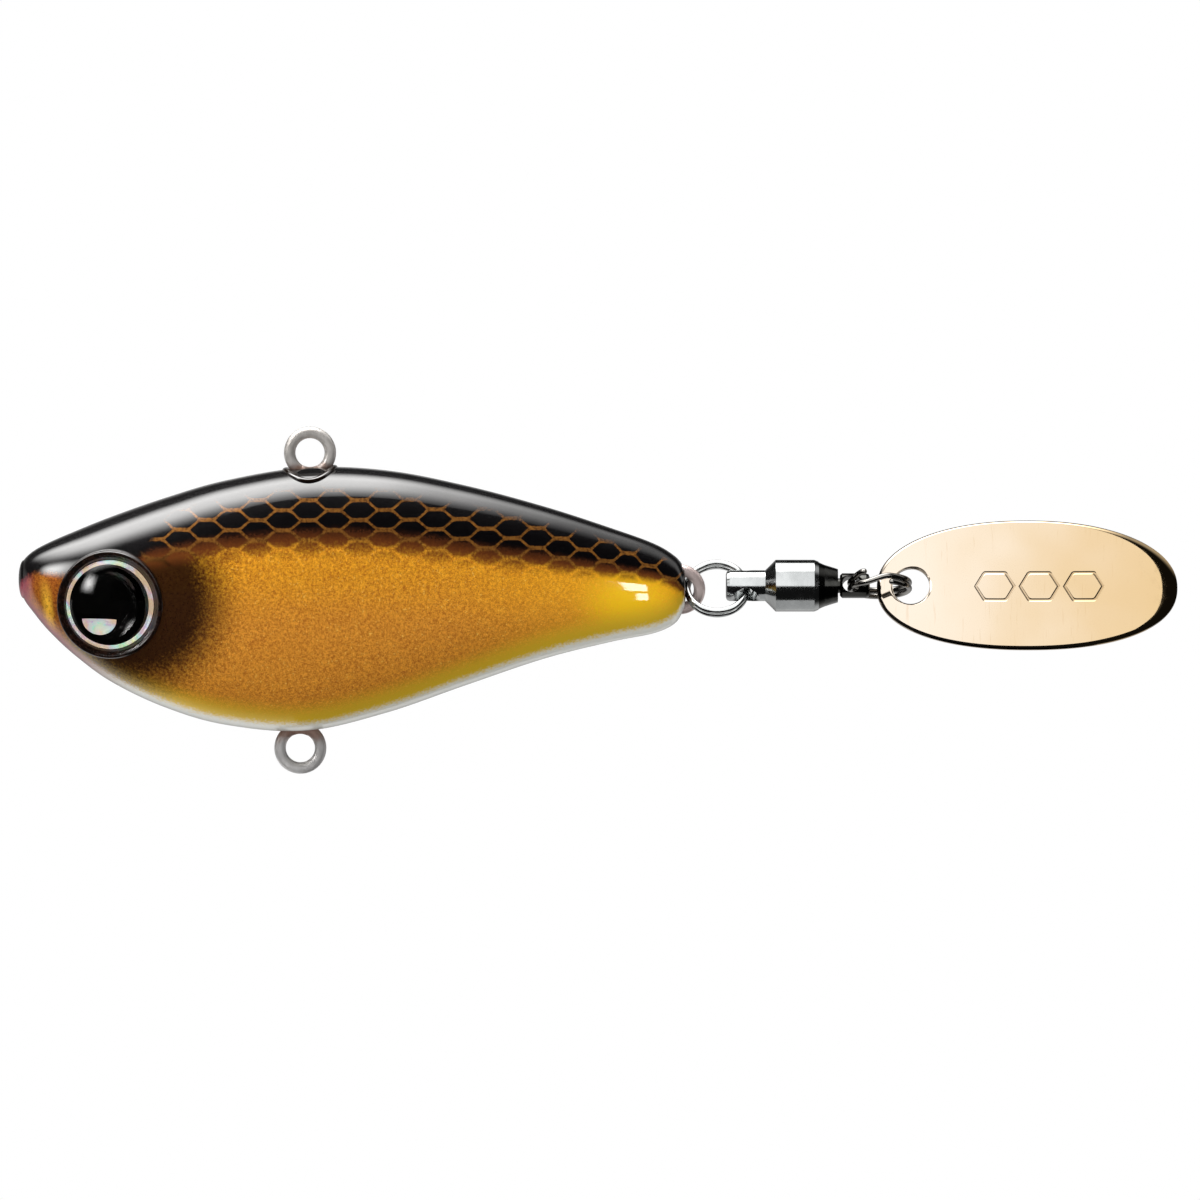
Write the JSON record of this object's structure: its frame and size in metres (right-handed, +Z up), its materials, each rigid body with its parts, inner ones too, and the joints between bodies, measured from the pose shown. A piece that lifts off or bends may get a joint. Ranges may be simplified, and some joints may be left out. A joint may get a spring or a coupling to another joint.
{
  "type": "tail-spinner fishing lure",
  "caption": "Fish-shaped weighted lure with a line eye on its back, a hook eye under its belly and a gold oval blade spinning behind a ball-bearing swivel.",
  "frame": {"origin": "centre of the line-tie eye's opening on the lure's back", "axes": "+X from nose to blade, +Y towards the lure's right side, +Z up from belly to back"},
  "size_m": [0.0782, 0.0112, 0.0236],
  "materials": {
    "left_shell": "gold flake flank under clear gloss, black scaled back, pearl belly",
    "right_shell": "gold flake flank under clear gloss, black scaled back, pearl belly",
    "belly_weight": "cast lead, dull",
    "line_tie": "dull stainless wire, lacquer stained at its foot",
    "belly_hanger": "dull stainless wire",
    "tail_hanger": "dull stainless wire",
    "left_eye_foil": "holographic foil",
    "left_eye_pupil": "gloss black",
    "left_eye_dome": "clear resin",
    "right_eye_foil": "holographic foil",
    "right_eye_pupil": "gloss black",
    "right_eye_dome": "clear resin",
    "front_split_ring": "polished nickel",
    "swivel_body": "polished black nickel",
    "swivel_cap": "polished black nickel",
    "swivel_washer": "hardened steel",
    "swivel_balls": "polished steel",
    "swivel_shaft": "polished black nickel",
    "rear_split_ring": "polished black nickel",
    "blade": "gold plated, polished"
  },
  "bodies": {
    "body": {"left_shell": "left_shell", "right_shell": "right_shell", "belly_weight": "belly_weight", "line_tie": "line_tie", "belly_hanger": "belly_hanger", "tail_hanger": "tail_hanger", "left_eye_foil": "left_eye_foil", "left_eye_pupil": "left_eye_pupil", "left_eye_dome": "left_eye_dome", "right_eye_foil": "right_eye_foil", "right_eye_pupil": "right_eye_pupil", "right_eye_dome": "right_eye_dome"},
    "front_ring": {"front_split_ring": "front_split_ring"},
    "swivel": {"swivel_body": "swivel_body", "swivel_cap": "swivel_cap", "swivel_washer": "swivel_washer"},
    "balls": {"swivel_balls": "swivel_balls"},
    "shaft": {"swivel_shaft": "swivel_shaft"},
    "rear_ring": {"rear_split_ring": "rear_split_ring"},
    "blade": {"blade": "blade"}
  },
  "joints": [
    {"name": "front_ring_swing", "type": "hinge", "parent": "body", "child": "front_ring", "pos_m": [0.02745, 0, -0.0092], "axis": [0, -0.766, 0.6428], "range_deg": [-50, 50]},
    {"name": "swivel_swing", "type": "hinge", "parent": "front_ring", "child": "swivel", "pos_m": [0.02938, 0, -0.009], "axis": [0, 0.6428, 0.766], "range_deg": [-60, 60]},
    {"name": "swivel_spin", "type": "hinge", "parent": "swivel", "child": "shaft", "pos_m": [0.035, 0, -0.009], "axis": [1, 0, 0], "continuous": true},
    {"name": "ball_orbit", "type": "hinge", "parent": "swivel", "child": "balls", "pos_m": [0.03295, 0, -0.009], "axis": [1, 0, 0], "continuous": true},
    {"name": "rear_ring_swing", "type": "hinge", "parent": "shaft", "child": "rear_ring", "pos_m": [0.0365, 0, -0.009], "axis": [0, -0.9397, 0.342], "range_deg": [-80, 80]},
    {"name": "blade_swing", "type": "hinge", "parent": "rear_ring", "child": "blade", "pos_m": [0.03842, 0, -0.009], "axis": [0, 0.342, 0.9397], "range_deg": [-60, 40]}
  ],
  "couplings": [
    {"joint": "ball_orbit", "follows": "swivel_spin", "ratio": 0.5}
  ]
}
